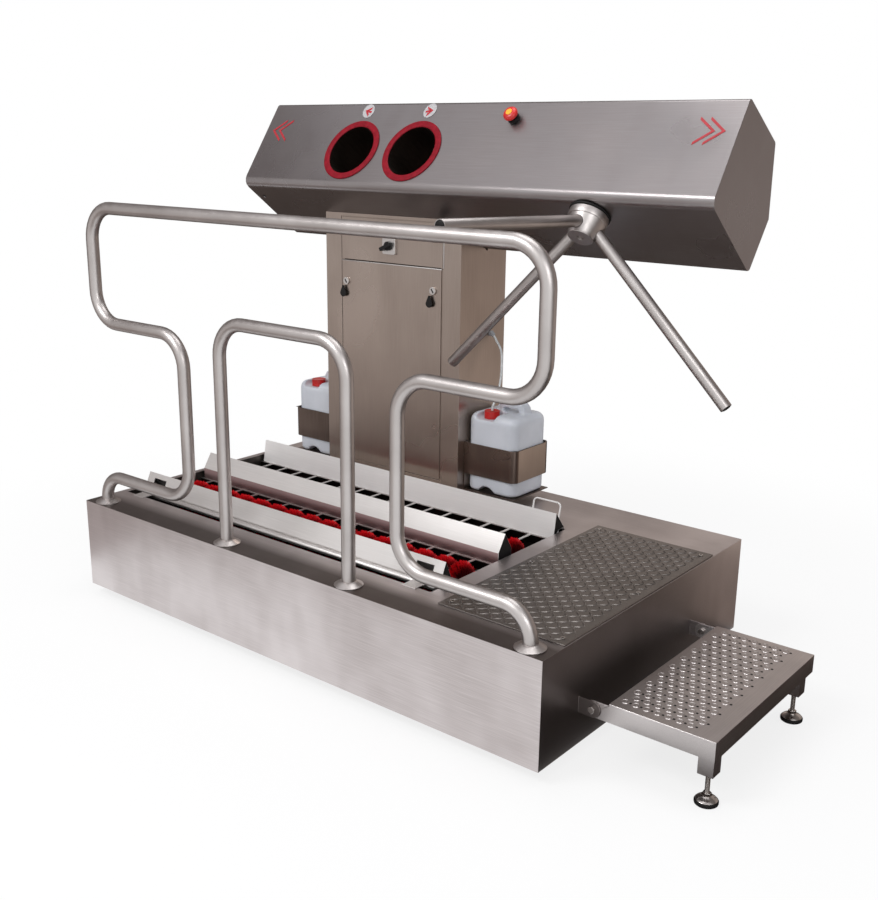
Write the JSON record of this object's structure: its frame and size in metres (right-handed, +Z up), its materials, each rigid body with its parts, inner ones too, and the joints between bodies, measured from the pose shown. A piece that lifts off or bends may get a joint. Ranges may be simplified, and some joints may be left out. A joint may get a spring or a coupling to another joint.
{
  "type": "walk-through boot washer",
  "caption": "Walk-through boot washer in stainless steel with red roller brushes, an overhead hand wash housing, a tripod turnstile, handrails, canisters and a step.",
  "frame": {"origin": "centre of the footprint on the floor", "axes": "+X along the base towards the step, +Y towards the tower, +Z up"},
  "size_m": [2.168, 1.075, 1.5906],
  "materials": {
    "sheet_steel": "brushed stainless sheet",
    "tube_steel": "satin stainless tube",
    "dark_steel": "dull patterned stainless plate",
    "red_bristle": "stiff nylon bristle",
    "black_plastic": "moulded black plastic and rubber",
    "grey_cast": "grey machine paint",
    "milky_plastic": "milky polyethylene",
    "red_plastic": "moulded red plastic",
    "red_rubber": "dull red rubber",
    "clear_hose": "thin clear plastic hose"
  },
  "bodies": {
    "base": {"base_housing": "sheet_steel", "trough": "sheet_steel", "grate_front": "sheet_steel", "grate_rear": "sheet_steel", "tower_housing": "sheet_steel", "tower_switch_panel": "sheet_steel", "head_shell": "sheet_steel", "holder_right": "sheet_steel", "holder_left": "sheet_steel", "frame_beam_front": "sheet_steel", "frame_beam_rear": "sheet_steel", "rail_long": "tube_steel", "rail_short": "tube_steel", "step_bolt_front": "tube_steel", "step_bolt_rear": "tube_steel", "main_switch_plate": "tube_steel", "platform_plate": "dark_steel", "drive_chain": "dark_steel", "hand_chamber_left": "dark_steel", "hand_chamber_right": "dark_steel", "push_button_collar": "black_plastic", "estop_collar": "black_plastic", "turnstile_gasket": "black_plastic", "drive_motor": "grey_cast", "hand_nozzle_left": "grey_cast", "hand_nozzle_right": "grey_cast", "turnstile_brake": "grey_cast", "hose_fitting": "grey_cast", "control_box": "grey_cast", "dosing_pump": "grey_cast", "canister_right": "milky_plastic", "hand_ring_left": "red_rubber", "hand_ring_right": "red_rubber", "suction_hose": "clear_hose"},
    "turnstile": {"turnstile_hub": "tube_steel", "turnstile_arm_1": "tube_steel", "turnstile_arm_2": "tube_steel", "turnstile_arm_3": "tube_steel"},
    "roller_front": {"brush_front": "red_bristle", "shaft_front": "tube_steel"},
    "roller_rear": {"brush_rear": "red_bristle", "shaft_rear": "tube_steel"},
    "guard_front": {"guard_front": "sheet_steel"},
    "guard_middle": {"guard_middle": "sheet_steel"},
    "guard_rear": {"guard_rear": "sheet_steel"},
    "step": {"step_tread": "sheet_steel"},
    "step_foot_front": {"step_foot_front": "tube_steel"},
    "step_foot_rear": {"step_foot_rear": "tube_steel"},
    "tower_door": {"tower_door": "sheet_steel"},
    "door_lock_left": {"door_lock_left": "tube_steel"},
    "door_lock_right": {"door_lock_right": "tube_steel"},
    "lock_flap_left": {"lock_flap_left": "black_plastic"},
    "lock_flap_right": {"lock_flap_right": "black_plastic"},
    "main_switch_knob": {"main_switch_knob": "black_plastic"},
    "push_button": {"push_button": "black_plastic"},
    "estop_button": {"estop_button": "red_plastic"},
    "canister_left": {"canister_left": "milky_plastic"},
    "cap_left": {"cap_left": "red_plastic"},
    "cap_right": {"cap_right": "red_plastic"}
  },
  "joints": [
    {"name": "turnstile_spin", "type": "hinge", "parent": "base", "child": "turnstile", "pos_m": [0.324, 0.21815, 1.28637], "axis": [0, -0.599, -0.8008], "continuous": true},
    {"name": "roller_front_spin", "type": "hinge", "parent": "base", "child": "roller_front", "pos_m": [-0.384, -0.1805, 0.264], "axis": [1, 0, 0], "continuous": true},
    {"name": "roller_rear_spin", "type": "hinge", "parent": "base", "child": "roller_rear", "pos_m": [-0.384, 0.0685, 0.264], "axis": [1, 0, 0], "continuous": true},
    {"name": "guard_front_lift", "type": "slide", "parent": "base", "child": "guard_front", "axis": [0, 0, 1], "range_m": [0, 0.1]},
    {"name": "guard_middle_lift", "type": "slide", "parent": "base", "child": "guard_middle", "axis": [0, 0, 1], "range_m": [0, 0.1]},
    {"name": "guard_rear_lift", "type": "slide", "parent": "base", "child": "guard_rear", "axis": [0, 0, 1], "range_m": [0, 0.1]},
    {"name": "step_fold", "type": "hinge", "parent": "base", "child": "step", "pos_m": [0.756, -0.0715, 0.147], "axis": [0, -1, 0], "range_deg": [0, 90]},
    {"name": "step_foot_front_screw", "type": "slide", "parent": "step", "child": "step_foot_front", "axis": [0, 0, 1], "range_m": [0, 0.012]},
    {"name": "step_foot_rear_screw", "type": "slide", "parent": "step", "child": "step_foot_rear", "axis": [0, 0, 1], "range_m": [0, 0.012]},
    {"name": "tower_door_tip", "type": "hinge", "parent": "base", "child": "tower_door", "pos_m": [-0.481, 0.2835, 0.3745], "axis": [1, 0, 0], "range_deg": [0, 6]},
    {"name": "door_lock_left_turn", "type": "hinge", "parent": "tower_door", "child": "door_lock_left", "pos_m": [-0.678, 0.2835, 1.007], "axis": [0, 1, 0], "range_deg": [0, 90]},
    {"name": "door_lock_right_turn", "type": "hinge", "parent": "tower_door", "child": "door_lock_right", "pos_m": [-0.293, 0.2835, 1.007], "axis": [0, -1, 0], "range_deg": [0, 90]},
    {"name": "lock_flap_left_swing", "type": "hinge", "parent": "tower_door", "child": "lock_flap_left", "pos_m": [-0.689, 0.2775, 0.988], "axis": [0, -1, 0], "range_deg": [0, 150]},
    {"name": "lock_flap_right_swing", "type": "hinge", "parent": "tower_door", "child": "lock_flap_right", "pos_m": [-0.304, 0.2775, 0.988], "axis": [0, -1, 0], "range_deg": [0, 150]},
    {"name": "main_switch_turn", "type": "hinge", "parent": "base", "child": "main_switch_knob", "pos_m": [-0.478, 0.2675, 1.139], "axis": [0, 1, 0], "range_deg": [0, 90]},
    {"name": "push_button_press", "type": "slide", "parent": "base", "child": "push_button", "axis": [0, 1, 0], "range_m": [0, 0.003], "stiffness_N_per_m": 600, "springref_m": -0.003},
    {"name": "estop_press", "type": "slide", "parent": "base", "child": "estop_button", "axis": [0, 0.8292, -0.559], "range_m": [0, 0.006], "stiffness_N_per_m": 1200, "springref_m": -0.004},
    {"name": "canister_left_lift", "type": "slide", "parent": "base", "child": "canister_left", "axis": [0, 0, 1], "range_m": [0, 0.2]},
    {"name": "cap_left_unscrew", "type": "hinge", "parent": "canister_left", "child": "cap_left", "pos_m": [-0.9093, 0.3685, 0.592], "axis": [0, 0, 1], "range_deg": [0, 330]},
    {"name": "cap_right_unscrew", "type": "hinge", "parent": "base", "child": "cap_right", "pos_m": [-0.1067, 0.3685, 0.6], "axis": [0, 0, 1], "range_deg": [0, 330]}
  ],
  "couplings": [
    {"joint": "roller_rear_spin", "follows": "roller_front_spin", "ratio": 1}
  ]
}
